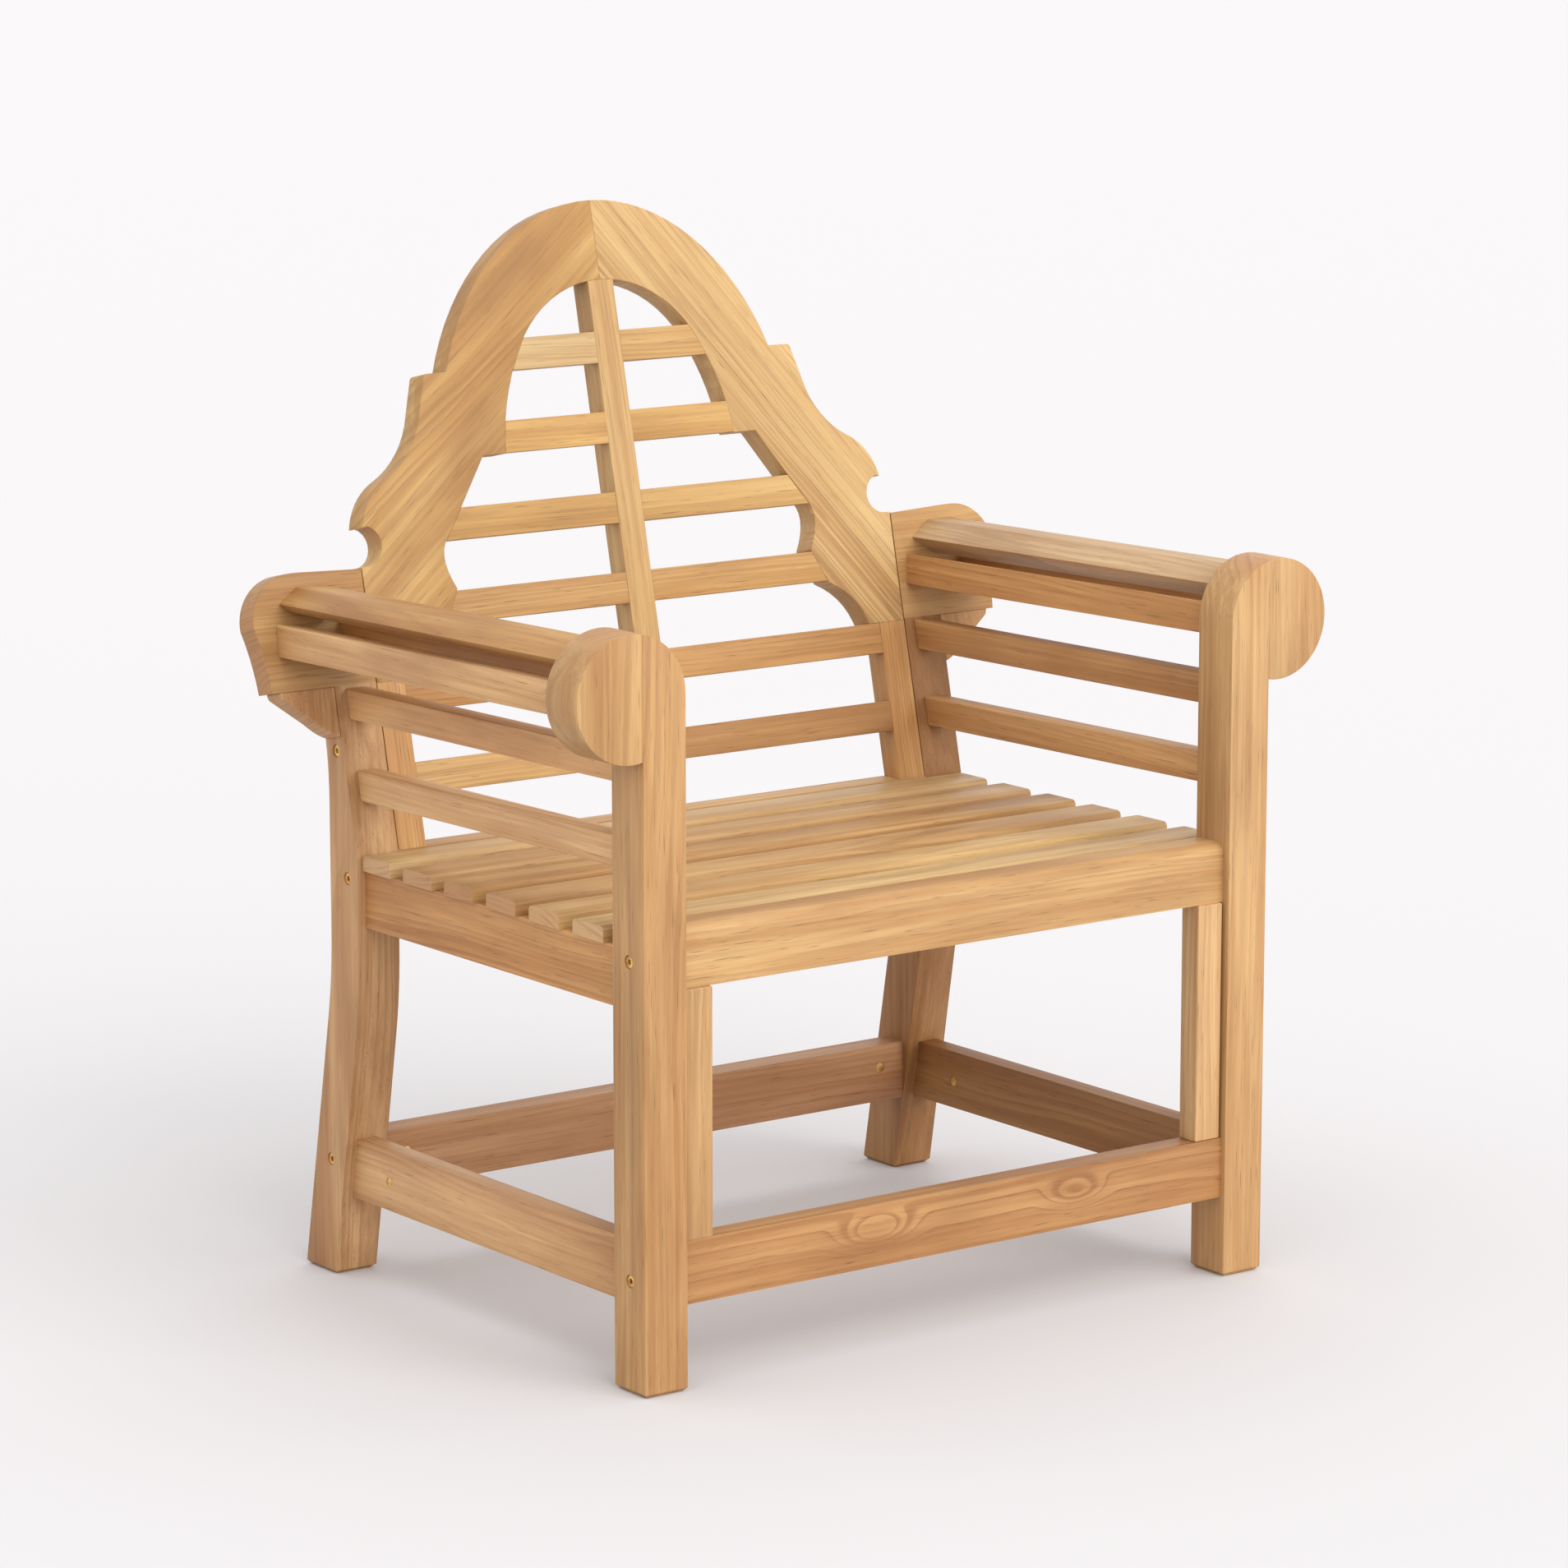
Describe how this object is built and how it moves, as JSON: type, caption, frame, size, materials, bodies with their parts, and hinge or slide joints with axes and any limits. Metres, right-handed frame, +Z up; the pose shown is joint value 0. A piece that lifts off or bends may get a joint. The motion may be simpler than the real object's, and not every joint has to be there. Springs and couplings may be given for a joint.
{
  "type": "garden bench",
  "caption": "Teak garden armchair for one, with an arched slatted back, round scrolled arms and a slatted seat on a low stretcher frame.",
  "frame": {"origin": "on the floor, under the middle of the chair's bounding box", "axes": "+X to the sitter's left, +Y from the front of the seat towards the back, +Z up"},
  "size_m": [0.9208, 0.6522, 1.0511],
  "materials": {
    "teak": "sanded, unoiled",
    "arch_teak": "sanded, unoiled, stronger figure",
    "fixings": "yellow plated, dull"
  },
  "bodies": {
    "root": {"front_leg_l": "teak", "front_leg_r": "teak", "front_scroll_block_l": "teak", "front_scroll_block_r": "teak", "rear_leg_l": "teak", "rear_leg_r": "teak", "rear_scroll_l": "teak", "rear_scroll_r": "teak", "rear_bracket_l": "teak", "rear_bracket_r": "teak", "back_arch_l": "arch_teak", "back_arch_r": "arch_teak", "back_stile_l": "teak", "back_stile_r": "teak", "back_muntin": "teak", "back_slat_l1": "teak", "back_slat_l2": "teak", "back_slat_l3": "teak", "back_slat_l4": "teak", "back_slat_l5": "teak", "back_slat_l6": "teak", "back_slat_r1": "teak", "back_slat_r2": "teak", "back_slat_r3": "teak", "back_slat_r4": "teak", "back_slat_r5": "teak", "back_slat_r6": "teak", "seat_front_rail": "teak", "seat_rear_rail": "teak", "seat_side_rail_l": "teak", "seat_side_rail_r": "teak", "seat_centre_bearer": "teak", "seat_slat_1": "teak", "seat_slat_2": "teak", "seat_slat_3": "teak", "seat_slat_4": "teak", "seat_slat_5": "teak", "seat_slat_6": "teak", "arm_top_slat_l": "teak", "arm_top_slat_r": "teak", "arm_inner_slat_l": "teak", "arm_inner_slat_r": "teak", "arm_outer_slat_l": "teak", "arm_outer_slat_r": "teak", "arm_upper_rail_l": "teak", "arm_upper_rail_r": "teak", "arm_lower_rail_l": "teak", "arm_lower_rail_r": "teak", "front_stretcher": "teak", "rear_stretcher": "teak", "side_stretcher_l": "teak", "side_stretcher_r": "teak", "front_upright_l": "teak", "front_upright_r": "teak", "leg_bolts": "fixings", "stretcher_bolts": "fixings", "stile_screws": "fixings", "barrel_nuts": "fixings", "seat_dowels": "teak", "arm_dowels": "teak"}
  },
  "joints": []
}
